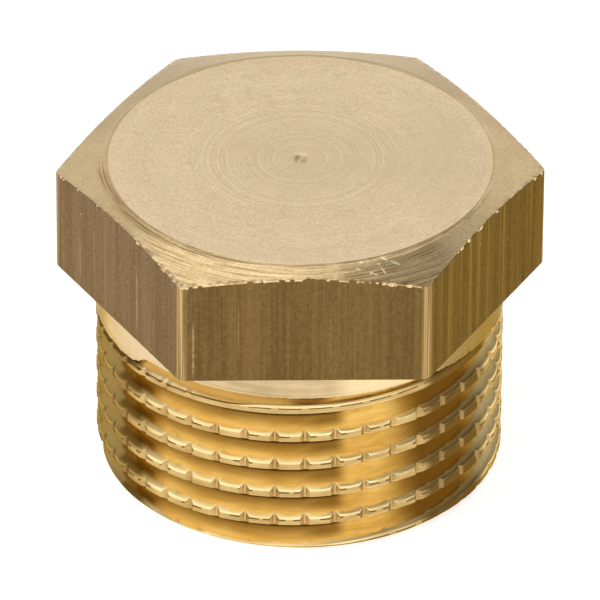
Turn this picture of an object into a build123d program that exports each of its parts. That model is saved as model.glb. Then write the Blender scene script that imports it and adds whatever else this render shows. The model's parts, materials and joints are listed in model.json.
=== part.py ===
"""Brass pipe plug with a hexagon head and a nicked parallel pipe thread, turned in one piece.

The plug stands on its threaded end. The origin is the centre of the end face, +Z runs up the
thread axis to the head, and one flat of the hexagon faces -Y. Sizes are millimetres and degrees.
"""
from build123d import *
import os
from math import ceil, radians, tan

# Hexagon head, with a shallow cone turned on its top
ACROSS_FLATS = 17.0
HEX_CORNER_RADIUS = 0.4
HEAD_HEIGHT = 4.95
TOP_FACE_DIAMETER = 15.45
TOP_CONE_ANGLE = 16.0

# Plain neck under the head, a little proud of the thread crests
NECK_LENGTH = 1.05
NECK_PROUD = 0.03

# Parallel pipe thread, right hand: nominal size, then the crests as they were turned
THREAD_LENGTH = 7.33
THREAD_MAJOR_DIAMETER = 16.662
THREAD_PITCH = 1.3368
THREAD_ANGLE = 55.0
CREST_TRUNCATION = 0.131
CREST_FLAT = 0.2
CREST_BEVEL_DEPTH = 0.1
END_CHAMFER = 0.2

# Nicks rolled across every crest, in straight rows along the axis
NICK_ROWS = 42
NICK_WIDTH = 0.36
NICK_DEPTH = 0.18
FIRST_NICK_ANGLE = 0.6

# The pipe thread standard makes the thread this deep, as a share of its pitch
THREAD_DEPTH_RATIO = 0.640327

# The groove is swept in half turns, and starts and ends clear of the shank
SWEEPS_PER_TURN = 2
SPARE_TURNS = 3

FRONT_ANGLE = -90.0
HEXAGON_SIDES = 6

SHANK_LENGTH = THREAD_LENGTH + NECK_LENGTH
OVERALL_LENGTH = SHANK_LENGTH + HEAD_HEIGHT
CREST_RADIUS = THREAD_MAJOR_DIAMETER / 2 - CREST_TRUNCATION
NECK_RADIUS = CREST_RADIUS + NECK_PROUD
THREAD_DEPTH = THREAD_DEPTH_RATIO * THREAD_PITCH
PITCH_RADIUS = (THREAD_MAJOR_DIAMETER - THREAD_DEPTH) / 2
ROOT_RADIUS = THREAD_MAJOR_DIAMETER / 2 - THREAD_DEPTH


def hexagon_head():
    """The hexagon with rounded corners, under the cone that is turned on its top."""
    outline = RegularPolygon(ACROSS_FLATS / 2, HEXAGON_SIDES, major_radius=False)
    outline = fillet(outline.vertices(), HEX_CORNER_RADIUS)
    prism = Pos(0, 0, SHANK_LENGTH) * extrude(outline, HEAD_HEIGHT)
    reach = ACROSS_FLATS
    top_radius = TOP_FACE_DIAMETER / 2
    cone_foot = OVERALL_LENGTH - (reach - top_radius) * tan(radians(TOP_CONE_ANGLE))
    section = Plane.XZ * make_face(
        Polyline(
            (0, 0),
            (reach, 0),
            (reach, cone_foot),
            (top_radius, OVERALL_LENGTH),
            (0, OVERALL_LENGTH),
            close=True,
        )
    )
    return prism & revolve(section, Axis.Z)


def groove_half_width(radius):
    """Half the width of the thread groove between its straight flanks, at one radius."""
    return THREAD_PITCH / 4 + (radius - PITCH_RADIUS) * tan(radians(THREAD_ANGLE / 2))


def groove_section(height):
    """The groove's section, with bevels that break the crest edges, centred at one height."""
    bevel_radius = CREST_RADIUS - CREST_BEVEL_DEPTH
    bevel_half = groove_half_width(bevel_radius)
    crest_half = (THREAD_PITCH - CREST_FLAT) / 2
    root_half = groove_half_width(ROOT_RADIUS)
    # The bevels run on past the crest, over half of what is left of its flat
    mouth_half = crest_half + CREST_FLAT / 4
    bevel_slope = CREST_BEVEL_DEPTH / (crest_half - bevel_half)
    mouth_radius = CREST_RADIUS + bevel_slope * (mouth_half - crest_half)
    return Plane.XZ * make_face(
        Polyline(
            (mouth_radius, height - mouth_half),
            (bevel_radius, height - bevel_half),
            (ROOT_RADIUS, height - root_half),
            (ROOT_RADIUS, height + root_half),
            (bevel_radius, height + bevel_half),
            (mouth_radius, height + mouth_half),
            close=True,
        )
    )


def groove_cutter():
    """The helical groove, placed so that a crest meets the end face at the front."""
    start = -1.5 * THREAD_PITCH
    sweeps = ceil((THREAD_LENGTH / THREAD_PITCH + SPARE_TURNS) * SWEEPS_PER_TURN)
    rise = THREAD_PITCH / SWEEPS_PER_TURN
    turn = 360 / SWEEPS_PER_TURN
    stretch = Helix(THREAD_PITCH, rise, CREST_RADIUS)
    path = Wire([Pos(0, 0, start + n * rise) * Rot(0, 0, n * turn) * stretch for n in range(sweeps)])
    groove = sweep(groove_section(start), path=path, is_frenet=True)
    return Rot(0, 0, FRONT_ANGLE) * groove


def nick_cutters():
    """One V groove along the axis for each row of nicks."""
    mouth_radius = CREST_RADIUS + NICK_DEPTH
    section = make_face(
        Polyline(
            (CREST_RADIUS - NICK_DEPTH, 0),
            (mouth_radius, NICK_WIDTH),
            (mouth_radius, -NICK_WIDTH),
            close=True,
        )
    )
    row = Pos(0, 0, -THREAD_PITCH) * extrude(section, THREAD_LENGTH + 2 * THREAD_PITCH)
    first = FRONT_ANGLE + FIRST_NICK_ANGLE
    return [Rot(0, 0, first + n * 360 / NICK_ROWS) * row for n in range(NICK_ROWS)]


def threaded_shank():
    """The threaded length, from the end face up to the neck."""
    blank = extrude(Circle(CREST_RADIUS), THREAD_LENGTH)
    blank = chamfer(blank.edges().sort_by(Axis.Z)[0], END_CHAMFER)
    return blank - groove_cutter() - nick_cutters()


def neck():
    """The plain collar between the thread and the head."""
    return Pos(0, 0, THREAD_LENGTH) * extrude(Circle(NECK_RADIUS), NECK_LENGTH)


plug_body = threaded_shank() + neck() + hexagon_head()

os.makedirs("parts", exist_ok=True)
export_step(plug_body, "parts/plug_body.step")
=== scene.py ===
"""Looks of a brass pipe plug with a hexagon head and a nicked thread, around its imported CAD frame.

The plug is one closed skin: threaded shank, neck and hexagon head. Lengths are millimetres and
angles are radians, unless a class or comment says metres or degrees. An angle round the axis is
measured from the front (-Y) towards +X, and the skin is written to Blender in metres.
"""
import json
import logging
from dataclasses import dataclass
from enum import Enum, IntEnum
from math import cos, pi, radians, sin, sqrt, tan, tau
from typing import Any

import bmesh
import bpy
import numpy as np
from mathutils import Matrix, Vector

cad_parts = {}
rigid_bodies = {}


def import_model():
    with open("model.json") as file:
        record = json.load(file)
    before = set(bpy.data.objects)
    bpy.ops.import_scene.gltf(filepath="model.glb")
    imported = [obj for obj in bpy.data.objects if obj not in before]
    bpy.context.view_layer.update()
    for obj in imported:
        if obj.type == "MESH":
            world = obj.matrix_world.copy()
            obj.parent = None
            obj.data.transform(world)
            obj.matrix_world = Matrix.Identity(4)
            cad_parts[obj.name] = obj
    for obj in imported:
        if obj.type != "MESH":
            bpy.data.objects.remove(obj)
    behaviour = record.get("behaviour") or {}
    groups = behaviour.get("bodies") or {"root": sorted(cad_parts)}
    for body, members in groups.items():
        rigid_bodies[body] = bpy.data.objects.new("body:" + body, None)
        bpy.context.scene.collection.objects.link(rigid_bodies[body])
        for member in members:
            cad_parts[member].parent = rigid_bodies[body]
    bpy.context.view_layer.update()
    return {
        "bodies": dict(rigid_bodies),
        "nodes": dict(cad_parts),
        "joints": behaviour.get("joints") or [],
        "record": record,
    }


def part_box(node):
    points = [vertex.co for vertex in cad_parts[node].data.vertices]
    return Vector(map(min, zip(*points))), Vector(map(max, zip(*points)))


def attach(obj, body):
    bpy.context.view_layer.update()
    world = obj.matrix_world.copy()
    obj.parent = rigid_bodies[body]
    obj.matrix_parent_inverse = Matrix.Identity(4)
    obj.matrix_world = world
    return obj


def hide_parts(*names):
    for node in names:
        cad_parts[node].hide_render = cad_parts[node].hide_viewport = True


LOG = logging.getLogger("plug")
MM = 0.001
NODE = "plug_body"
HEX_SIDES = 6
WHITE = (1.0, 1.0, 1.0, 1.0)

# Edges that bend more than this are shaded sharp
SHARP_ANGLE = radians(38.0)
# Points nearer than this to a cut lie on it, and faces nearer than this to the chamfer are part of it
ON_CUT = 1e-6
ON_CHAMFER = 1e-4

Array = np.ndarray
Colour = tuple[float, float, float]
Span = tuple[float, float]
Socket = bpy.types.NodeSocket


class Finish(IntEnum):
    """Where a face of the skin gets its finish from, in the order of the material slots."""

    FACED_TOP = 0
    TURNED_CONE = 1
    DRAWN_FLAT = 2
    TURNED_SEAT = 3
    TURNED_NECK = 4
    CUT_FLANK = 5
    ROLLED_CREST = 6
    FACED_END = 7
    # Painted shade: darker brass under the neck, beside the crests' highlights and on the end chamfer
    OILED_EDGE = 8


class LineAxis(Enum):
    """What a turned finish's tool lines are spaced along."""

    RADIUS = "radius"
    HEIGHT = "height"


def smooth_step(value: Array, low: float, high: float) -> Array:
    """Eases from 0 at low to 1 at high.

    Args:
        value: The values to ease.
        low: Where the result is still 0.
        high: Where the result becomes 1.

    Returns:
        The eased values, between 0 and 1.
    """
    share = np.clip((value - low) / (high - low), 0.0, 1.0)
    return share * share * (3.0 - 2.0 * share)


def ring_points(angle: Array, radius: Array | float, height: Array | float) -> Array:
    """Points round the axis.

    Args:
        angle: Angle of each point from the front, towards +X.
        radius: Distance of each point from the axis.
        height: Height of each point.

    Returns:
        The points, with x, y and z along the last axis.
    """
    radius = np.broadcast_to(radius, angle.shape)
    height = np.broadcast_to(height, angle.shape)
    return np.stack([radius * np.sin(angle), -radius * np.cos(angle), height], axis=-1)


def point_angle(points: Array) -> Array:
    """Angle of each point from the front, towards +X."""
    return np.arctan2(points[..., 0], -points[..., 1])


def signed_angle(angle: Array) -> Array:
    """The same angles, counted from -pi to pi."""
    return np.mod(angle + pi, tau) - pi


def direction(azimuth: float, elevation: float) -> Vector:
    """The way out from the plug, at an azimuth from the front and an elevation."""
    level = cos(elevation)
    return Vector((sin(azimuth) * level, -cos(azimuth) * level, sin(elevation)))


def add_object(name: str, data: bpy.types.ID) -> bpy.types.Object:
    """Adds an object to the scene.

    Args:
        name: The object's name.
        data: Its mesh, lamp or camera.

    Returns:
        The object.
    """
    added = bpy.data.objects.new(name, data)
    bpy.context.scene.collection.objects.link(added)
    return added


@dataclass(frozen=True)
class Ripple:
    """A repeatable uneven line round the axis: a sum of waves with seeded counts and phases."""

    seed: int
    slowest: int
    fastest: int
    waves: int = 24

    def at(self, angle: Array) -> Array:
        """Reads the line.

        Args:
            angle: Angles round the axis.

        Returns:
            The line's height there, about 1 either way.
        """
        rng = np.random.default_rng(self.seed)
        counts = rng.integers(self.slowest, self.fastest, self.waves)
        phases = rng.uniform(0.0, tau, self.waves)
        waves = np.sin(np.asarray(angle)[..., None] * counts + phases)
        return waves.sum(axis=-1) / sqrt(self.waves / 2)


class Skin:
    """A closed mesh in the making: its points, its faces and the finish of each face."""

    def __init__(self) -> None:
        """Starts with no points and no faces."""
        self.points: list[Array] = []
        self.count = 0
        self.faces: list[tuple[int, ...]] = []
        self.finishes: list[int] = []

    def add_points(self, points: Array) -> Array:
        """Adds points to the skin.

        Args:
            points: Any array of points, with x, y and z along the last axis.

        Returns:
            The index of each point, in the same layout.
        """
        flat = points.reshape(-1, 3)
        first = self.count
        self.points.append(flat)
        self.count += len(flat)
        return np.arange(first, self.count).reshape(points.shape[:-1])

    def add_faces(self, corners: Array, finish: Finish) -> None:
        """Adds faces that share one finish.

        Args:
            corners: The indices of each face's corners, one face a row.
            finish: The finish of these faces.
        """
        self.faces.extend(tuple(face) for face in corners.tolist())
        self.finishes.extend([int(finish)] * len(corners))

    def band(self, before: Array, after: Array, finish: Finish) -> None:
        """Joins two closed loops, point to point, by four-sided faces.

        Args:
            before: The loop nearer to the end face, along the skin.
            after: The loop nearer to the top, with as many points.
            finish: The finish of the band.
        """
        next_before = np.roll(before, -1)
        next_after = np.roll(after, -1)
        self.add_faces(np.stack([before, next_before, next_after, after], axis=-1), finish)

    def rings(self, loops: list[Array], finish: Finish) -> Array:
        """Adds loops of points and joins each to the next.

        Args:
            loops: Loops of points, from the end face towards the top.
            finish: The finish of the bands between them.

        Returns:
            The indices of the loops, one loop a row.
        """
        indices = self.add_points(np.stack(loops))
        for before, after in zip(indices[:-1], indices[1:]):
            self.band(before, after, finish)
        return indices

    def zip_loops(self, before: Array, after: Array, finish: Finish) -> None:
        """Joins two closed loops with different numbers of points by triangles, in order of angle.

        Args:
            before: Indices of the loop nearer to the end face, in rising angle.
            after: Indices of the loop nearer to the top, in rising angle.
            finish: The finish of the triangles.
        """
        points = np.concatenate(self.points)
        angles = []
        loops = []
        for loop in (before, after):
            turn = point_angle(points[loop])
            start = int(np.argmin(turn))
            loops.append(np.roll(loop, -start))
            turn = np.roll(turn, -start)
            angles.append(np.append(turn, turn[0] + tau))
        before, after = loops
        triangles = []
        first = 0
        second = 0
        while first < len(before) or second < len(after):
            here = before[first % len(before)]
            there = after[second % len(after)]
            second_done = second == len(after)
            if second_done or (first < len(before) and angles[0][first + 1] <= angles[1][second + 1]):
                first += 1
                triangles.append((here, before[first % len(before)], there))
            else:
                second += 1
                triangles.append((here, after[second % len(after)], there))
        self.add_faces(np.array(triangles), finish)

    def fan(self, loop: Array, centre: Array, points_up: bool, finish: Finish) -> None:
        """Closes a loop with triangles to one centre point.

        Args:
            loop: Indices of the loop, in rising angle.
            centre: The centre point.
            points_up: True where the fan faces up.
            finish: The finish of the fan.
        """
        middle = np.full(len(loop), self.add_points(centre[None])[0])
        ahead = np.roll(loop, -1)
        sides = [loop, ahead] if points_up else [ahead, loop]
        self.add_faces(np.stack([*sides, middle], axis=-1), finish)

    def to_object(self, name: str, materials: list[bpy.types.Material]) -> bpy.types.Object:
        """Writes the skin as a Blender object in metres.

        Args:
            name: The object's name.
            materials: The materials, in the order of the finishes.

        Returns:
            The object, linked to the scene.
        """
        mesh = bpy.data.meshes.new(name)
        mesh.from_pydata((np.concatenate(self.points) * MM).tolist(), [], self.faces)
        mesh.polygons.foreach_set("material_index", self.finishes)
        for material in materials:
            mesh.materials.append(material)
        mesh.shade_smooth()
        mesh.set_sharp_from_angle(angle=SHARP_ANGLE)
        return add_object(name, mesh)


@dataclass(frozen=True)
class PlugSizes:
    """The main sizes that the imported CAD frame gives."""

    crest_radius: float
    seat_height: float
    top_height: float
    half_flats: float

    @classmethod
    def from_frame(cls, frame: dict[str, Any]) -> "PlugSizes":
        """Reads the sizes from the frame's mounts and box.


        Returns:
            The sizes in millimetres.
        """
        mounts = {mount["name"]: mount for mount in frame["record"]["mounts"]}
        return cls(
            crest_radius=mounts["male_thread"]["dims"]["r_mm"],
            seat_height=mounts["head_seat"]["pos_m"][2] / MM,
            top_height=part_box(NODE)[1].z / MM,
            half_flats=-mounts["spanner_flat"]["pos_m"][1] / MM,
        )


@dataclass(frozen=True)
class CrestShape:
    """The nicked and worn shape of the crests, by column and crest.

    A corner is how far from the crest's middle its edge would lie if it were sharp, and a round is
    the radius of that edge. The burr is the step beside the crest's upper edge.
    """

    radius: Array
    lower_corner: Array
    lower_round: Array
    upper_corner: Array
    upper_round: Array
    burr: Array


@dataclass
class Thread:
    """The nicked pipe thread, from the end face up to the neck's lower edge."""

    crest_radius: float
    seat_height: float
    pitch: float = 1.3368
    flank_angle: float = radians(27.5)
    root_radius: float = 7.3
    root_round: float = 0.08
    crest_below: float = 0.1
    crest_above: float = 0.2
    lower_round: float = 0.012
    # Where the lower crest edge is worn round, from angle to angle in degrees
    worn_round: float = 0.13
    worn_edges: tuple[Span, ...] = ((11.0, 34.0), (120.0, 150.0), (-150.0, -125.0))
    worn_ease: float = 6.0
    upper_round: float = 0.2
    plain_round: float = 0.17
    # The last crest under the neck is thin and sharp on its left
    sharp_heights: Span = (6.3, 6.4)
    sharp_ends: Span = (radians(-22.0), radians(-10.0))
    sharp_round: float = 0.03
    sharp_crest_above: float = 0.09
    nick_rows: int = 42
    first_nick: float = radians(0.6)
    nick_depth: float = 0.165
    nick_floor: float = 0.045
    nick_mouth: float = 0.2
    nick_round: float = 0.02
    nick_lip: float = 0.004
    lip_place: float = 0.225
    lip_width: float = 0.03
    nicks_full_below: float = 6.46
    nicks_gone_above: float = 6.6
    nicks_start_above: float = 0.3
    # The burr step beside a nick, how far it reaches, and the share of it that runs along the crest
    burr_step: float = 0.045
    burr_reach: float = 0.55
    burr_least: float = 0.25
    # The painted shade line along a crest: its reach past a nick's mouth, and its break where a nick has
    # faded out
    shade_line_reach: Span = (-0.2, 0.45)
    shade_line_break: float = 0.17
    slot_above: float = 6.35
    end_chamfer: float = 0.2
    # The neck's lower edge: where it starts, how far it hangs from the seat there, and its further drops
    # from angle to angle in degrees beyond that start
    edge_start: float = radians(-48.0)
    edge_drop: float = 1.06
    edge_slopes: tuple[tuple[float, float, float], ...] = (
        (0.16, 75.0, 108.0),
        (0.31, 105.0, 350.0),
        (-0.47, 352.0, 360.0),
    )
    edge_ragged: float = 0.011
    # The slope under that edge, which is short where the edge passes a crest
    neck_taper: float = 0.2
    taper_least: float = 0.15
    taper_grows: Span = (0.1, 0.6)
    taper_ends: Span = (1.1, 1.3)
    column_spots: tuple[float, ...] = (0.0, 0.045, 0.09, 0.145, 0.2, 0.25, 0.34, 0.46)
    lower_steps: tuple[float, ...] = (1.0, 0.5, 0.0)
    upper_steps: tuple[float, ...] = (0.0, 0.26, 0.52, 0.78, 1.0)
    flank_steps: tuple[float, ...] = (0.25, 0.55, 0.8)
    turns_below: int = 2
    turns: int = 9

    @property
    def turn_at_crest(self) -> float:
        """How far the surface turns at a crest edge, from the crest to the flank."""
        return pi / 2 - self.flank_angle

    @property
    def inset_share(self) -> float:
        """How far from a sharp edge its rounding begins, for a rounding of radius 1."""
        return tan(self.turn_at_crest / 2)

    def columns(self) -> Array:
        """Spaces the mesh columns, close together at the nicks.

        Returns:
            The angles of the columns.
        """
        gap = tau * self.crest_radius / self.nick_rows
        right = list(self.column_spots)
        left = [gap - spot for spot in reversed(right[1:])]
        spots = np.array([*right, gap / 2, *left]) / self.crest_radius
        starts = self.first_nick + np.arange(self.nick_rows) * tau / self.nick_rows
        return (starts[:, None] + spots[None, :]).ravel()

    def nick_offset(self, angle: Array) -> Array:
        """Measures how far along the crest the nearest nick is.

        Args:
            angle: Angles round the axis.

        Returns:
            The distance from the middle of the nearest nick, on either side of it.
        """
        step = tau / self.nick_rows
        share = (angle - self.first_nick) / step
        return (share - np.round(share)) * step * self.crest_radius

    def lower_edge(self, angle: Array) -> Array:
        """Rounds the crest's lower edge, which is worn in places.

        Args:
            angle: Angles round the axis.

        Returns:
            The edge's radius at each angle.
        """
        worn = np.zeros_like(angle)
        turn = np.degrees(signed_angle(angle))
        for start, end in self.worn_edges:
            begun = smooth_step(turn, start, start + self.worn_ease)
            worn += begun * (1.0 - smooth_step(turn, end - self.worn_ease, end))
        return self.lower_round + (self.worn_round - self.lower_round) * worn

    def crest_shape(self, angle: Array, crest_height: Array) -> CrestShape:
        """Shapes the crests, with their nicks, burrs and worn edges.

        Args:
            angle: Angle of each column, with a second axis of length 1.
            crest_height: Height of each crest's middle, by column and crest.

        Returns:
            The crests' shape.
        """
        offset = np.abs(self.nick_offset(angle))
        fade = 1.0 - smooth_step(crest_height, self.nicks_full_below, self.nicks_gone_above)
        fade = fade * smooth_step(crest_height, 0.0, 2.0 * self.nicks_start_above)
        wall = np.clip((self.nick_mouth - offset) / (self.nick_mouth - self.nick_floor), 0.0, 1.0)
        depth = self.nick_depth * wall * fade
        lip = self.nick_lip * fade * np.exp(-(((offset - self.lip_place) / self.lip_width) ** 2))
        radius = self.crest_radius - depth + lip * (wall == 0.0)
        slope = tan(self.flank_angle)
        widening = (self.crest_radius - radius) * slope
        sharp = smooth_step(crest_height, *self.sharp_heights)
        sharp = sharp * (1.0 - smooth_step(signed_angle(angle), *self.sharp_ends))
        above = self.crest_above + (self.sharp_crest_above - self.crest_above) * sharp
        beside = 1.0 - smooth_step(offset, self.nick_mouth, self.burr_reach)
        burr = self.burr_least + (1.0 - self.burr_least) * beside * fade
        burr = self.burr_step * burr * (1.0 - wall * fade)
        upper_round = self.plain_round + (self.upper_round - self.plain_round) * fade
        upper_round = upper_round + (self.sharp_round - upper_round) * sharp
        upper_round = upper_round - depth * slope / (sin(self.turn_at_crest) - self.inset_share)
        return CrestShape(
            radius=radius,
            lower_corner=self.crest_below + widening,
            lower_round=self.lower_edge(angle),
            upper_corner=above + widening,
            upper_round=np.maximum(upper_round, self.nick_round),
            burr=burr,
        )

    def profile_rows(self, crest: CrestShape) -> tuple[Array, Array]:
        """Heights and radii of the mesh rows of each crest, from the root below it upwards.

        Args:
            crest: The crests' shape.

        Returns:
            Heights from the crest's middle and radii, by column, crest and row.
        """
        heights: list[Array] = []
        radii: list[Array] = []

        def arc(corner: Array, bend: Array, share: float, side: int) -> None:
            """Adds a row on the rounded edge between a crest and its flank.

            Args:
                corner: Distance from the crest's middle to the edge, if it were sharp.
                bend: Radius of the rounding.
                share: How far round the edge the row lies, from the crest to the flank.
                side: 1 for the upper edge, -1 for the lower one.
            """
            turn = share * self.turn_at_crest
            heights.append(side * (corner - bend * self.inset_share + bend * sin(turn)))
            radii.append(crest.radius - bend * (1.0 - cos(turn)))

        flank_height = (self.crest_radius - self.root_radius) * tan(self.flank_angle)
        root_inset = self.root_round * self.inset_share

        def root(share: float, side: int) -> None:
            """Adds a row on the rounded root.

            Args:
                share: How far round the root the row lies, from its middle to the flank.
                side: 1 for the root above the crest, -1 for the one below it.
            """
            turn = share * self.turn_at_crest
            lift = self.root_round * (1.0 - cos(turn))
            start = self.crest_above if side > 0 else self.crest_below
            out = start + flank_height + root_inset - self.root_round * sin(turn)
            heights.append(np.full_like(crest.radius, side * out))
            radii.append(np.full_like(crest.radius, self.root_radius + lift))

        groove_middle = (self.crest_above - self.crest_below - self.pitch) / 2
        heights.append(np.full_like(crest.radius, groove_middle))
        radii.append(np.full_like(crest.radius, self.root_radius))
        root(0.5, -1)
        root(1.0, -1)
        root_row = len(heights) - 1
        for share in self.lower_steps:
            arc(crest.lower_corner, crest.lower_round, share, -1)
        for share in self.upper_steps:
            arc(crest.upper_corner, crest.upper_round, share, 1)
            if share > 0.0:
                radii[-1] = radii[-1] - crest.burr * (1.0 - share)
        top_row = len(heights) - 1
        root(1.0, 1)
        foot_height, foot_radius = heights.pop(), radii.pop()
        for share in self.flank_steps:
            heights.append(heights[top_row] * (1 - share) + foot_height * share)
            radii.append(radii[top_row] * (1 - share) + foot_radius * share)
        heights.append(foot_height)
        radii.append(foot_radius)
        root(0.5, 1)
        low_flank = (heights[root_row] + heights[root_row + 1]) / 2
        low_radius = (radii[root_row] + radii[root_row + 1]) / 2
        heights.insert(root_row + 1, low_flank)
        radii.insert(root_row + 1, low_radius)
        return np.stack(heights, axis=-1), np.stack(radii, axis=-1)

    def neck_edge(self, angle: Array) -> Array:
        """Height of the neck's lower edge, which runs out of the thread like a helix.

        Args:
            angle: Angles round the axis.

        Returns:
            The edge's height at each angle.
        """
        along = np.mod(angle - self.edge_start, tau)
        drop = np.full_like(along, self.edge_drop)
        for further, start, end in self.edge_slopes:
            drop = drop + further * smooth_step(along, radians(start), radians(end))
        ragged = Ripple(seed=5, slowest=30, fastest=300).at(angle)
        return self.seat_height - drop + self.edge_ragged * ragged

    def neck_foot(self, angle: Array) -> Array:
        """Height where the slope under the neck meets the thread.

        Args:
            angle: Angles round the axis.

        Returns:
            The height at each angle.
        """
        edge = self.neck_edge(angle)
        above_crest = np.mod(edge - self.pitch * angle / tau, self.pitch)
        room = smooth_step(above_crest, *self.taper_grows)
        room = room * (1.0 - smooth_step(above_crest, *self.taper_ends))
        return edge - self.neck_taper * (self.taper_least + (1.0 - self.taper_least) * room)

    def build(self, skin: Skin) -> tuple[Array, Array]:
        """Adds the thread to the skin.

        Args:
            skin: The skin to add to.

        Returns:
            Indices of the loop at the end face and of the loop under the neck, in rising angle.
        """
        angle = self.columns()
        crest = np.arange(-self.turns_below, self.turns - self.turns_below)
        crest_height = self.pitch * (angle[:, None] / tau + crest[None, :])
        offsets, radii = self.profile_rows(self.crest_shape(angle[:, None], crest_height))
        per_crest = offsets.shape[-1]
        columns = len(angle)
        heights = (crest_height[..., None] + offsets).reshape(columns, -1)
        radii = radii.reshape(columns, -1)
        points = ring_points(np.broadcast_to(angle[:, None], radii.shape), radii, heights)
        mesh = bpy.data.meshes.new("thread_strip")
        index = np.arange(columns * radii.shape[1]).reshape(columns, -1)
        ahead = np.roll(index, -1, axis=0)
        rows = radii.shape[1] - per_crest - 1
        here = index[:, :rows]
        there = ahead[:, :rows].copy()
        there[-1] = index[0, per_crest:per_crest + rows]
        here_up = index[:, 1:rows + 1]
        there_up = ahead[:, 1:rows + 1].copy()
        there_up[-1] = index[0, per_crest + 1:per_crest + rows + 1]
        faces = np.stack([here, there, there_up, here_up], axis=-1).reshape(-1, 4)
        finish = self.face_finishes(angle, crest_height, np.arange(rows), offsets)
        mesh.from_pydata(points.reshape(-1, 3).tolist(), [], faces.tolist())
        mesh.polygons.foreach_set("material_index", finish.ravel().astype(np.int32))
        bottom, top, strip = self.trim(mesh)
        return self.take(skin, strip, bottom, top)

    def face_finishes(self, angle: Array, crest_height: Array, rows: Array, offsets: Array) -> Array:
        """The finish of each face of the strip.

        Args:
            angle: Angle of each column.
            crest_height: Height of each crest's middle, by column and crest.
            rows: Numbers of the rows of faces.
            offsets: Heights of the rows of points from their crest, by column, crest and row.

        Returns:
            The finishes, by column and row.
        """
        per_crest = offsets.shape[-1]
        row = rows % per_crest - (int(np.argmax(offsets[0, 0] > 0.0)) - 1)
        crest = rows // per_crest
        height = crest_height[:, crest]
        middle = (angle + np.append(angle[1:], angle[0] + tau)) / 2
        offset = self.nick_offset(middle)[:, None]
        nick = np.round((middle - self.first_nick) * self.nick_rows / tau).astype(int)[:, None]
        nicked = (height > self.nicks_start_above) & (height < self.nicks_full_below)
        away = np.abs(offset)
        last_round = len(self.upper_steps) - 1
        in_nick = nicked & (away < self.nick_mouth / 2) & (row >= 0) & (row <= last_round)
        places = (self.nick_rows + 1, self.turns, 2)
        # Painted shade: a dark line along the first rounding row beside the nicks
        lengths = np.random.default_rng(71).uniform(*self.shade_line_reach, places)
        reach = lengths[nick, crest[None, :], (offset > 0.0).astype(int)] + self.nick_mouth
        shade_lined = np.where(nicked, away < reach, away > self.shade_line_break)
        in_slot = (height > self.slot_above) & (row > last_round)
        in_slot = in_slot | (height > self.slot_above + self.pitch)
        finish = np.full(in_nick.shape, int(Finish.CUT_FLANK))
        finish[in_nick | (row == 0) | (row == 1)] = Finish.ROLLED_CREST
        # The painted shade finish goes under the neck and beside the crests' highlights near the nicks
        finish[in_slot | (row == 1) & shade_lined & ~in_nick] = Finish.OILED_EDGE
        return finish

    def trim(self, mesh: bpy.types.Mesh) -> tuple[list[int], list[int], bmesh.types.BMesh]:
        """Cuts the strip at the end face and at the neck, and turns the end chamfer.

        Args:
            mesh: The strip, which runs past both ends.

        Returns:
            Vertex numbers on the end face, vertex numbers under the neck, and the trimmed strip.
        """
        strip = bmesh.new()
        strip.from_mesh(mesh)
        bpy.data.meshes.remove(mesh)
        loose = [vert for vert in strip.verts if not vert.link_faces]
        bmesh.ops.delete(strip, geom=loose, context="VERTS")
        self.cut(strip, self.end_chamfer, keep=0)
        self.cut(strip, 0.0, keep=1)
        for vert in strip.verts:
            reach = self.crest_radius - self.end_chamfer + vert.co.z
            radius = vert.co.xy.length
            if radius > reach:
                vert.co.xy *= reach / radius
        # The end chamfer gets the painted shade finish
        inner = self.crest_radius - self.end_chamfer - ON_CHAMFER
        for face in strip.faces:
            if all(vert.co.z < self.end_chamfer + ON_CHAMFER for vert in face.verts):
                if all(vert.co.xy.length - vert.co.z > inner for vert in face.verts):
                    face.material_index = Finish.OILED_EDGE
        positions = np.array([vert.co for vert in strip.verts])
        edge = self.neck_foot(point_angle(positions))
        for vert, height in zip(strip.verts, edge):
            vert.co.z -= height
        self.cut(strip, 0.0, keep=-1)
        positions = np.array([vert.co for vert in strip.verts])
        edge = self.neck_foot(point_angle(positions))
        top = [number for number, spot in enumerate(positions) if abs(spot[2]) < ON_CUT]
        for vert, height in zip(strip.verts, edge):
            vert.co.z += height
        strip.verts.index_update()
        bottom = [vert.index for vert in strip.verts if abs(vert.co.z) < ON_CUT]
        return bottom, top, strip

    def cut(self, strip: bmesh.types.BMesh, height: float, keep: int) -> None:
        """Cuts the strip at one height.

        Args:
            strip: The strip.
            height: Where to cut it.
            keep: 1 to keep what is above, -1 to keep what is below, 0 to keep both.
        """
        geometry = [*strip.verts, *strip.edges, *strip.faces]
        bmesh.ops.bisect_plane(
            strip,
            geom=geometry,
            dist=1e-7,
            plane_co=(0.0, 0.0, height),
            plane_no=(0.0, 0.0, 1.0),
            clear_inner=keep == 1,
            clear_outer=keep == -1,
        )

    def take(
        self, skin: Skin, strip: bmesh.types.BMesh, bottom: list[int], top: list[int]
    ) -> tuple[Array, Array]:
        """Moves the trimmed strip into the skin.

        Args:
            skin: The skin to add to.
            strip: The trimmed strip, which is freed.
            bottom: Vertex numbers on the end face.
            top: Vertex numbers under the neck.

        Returns:
            The skin's indices of the two loops, in rising angle.
        """
        points = np.array([vert.co for vert in strip.verts])
        index = skin.add_points(points)
        for face in strip.faces:
            skin.faces.append(tuple(int(index[vert.index]) for vert in face.verts))
            skin.finishes.append(face.material_index)
        strip.free()
        turn = point_angle(points)
        loops = [index[sorted(loop, key=lambda number: turn[number])] for loop in (bottom, top)]
        return loops[0], loops[1]


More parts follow.
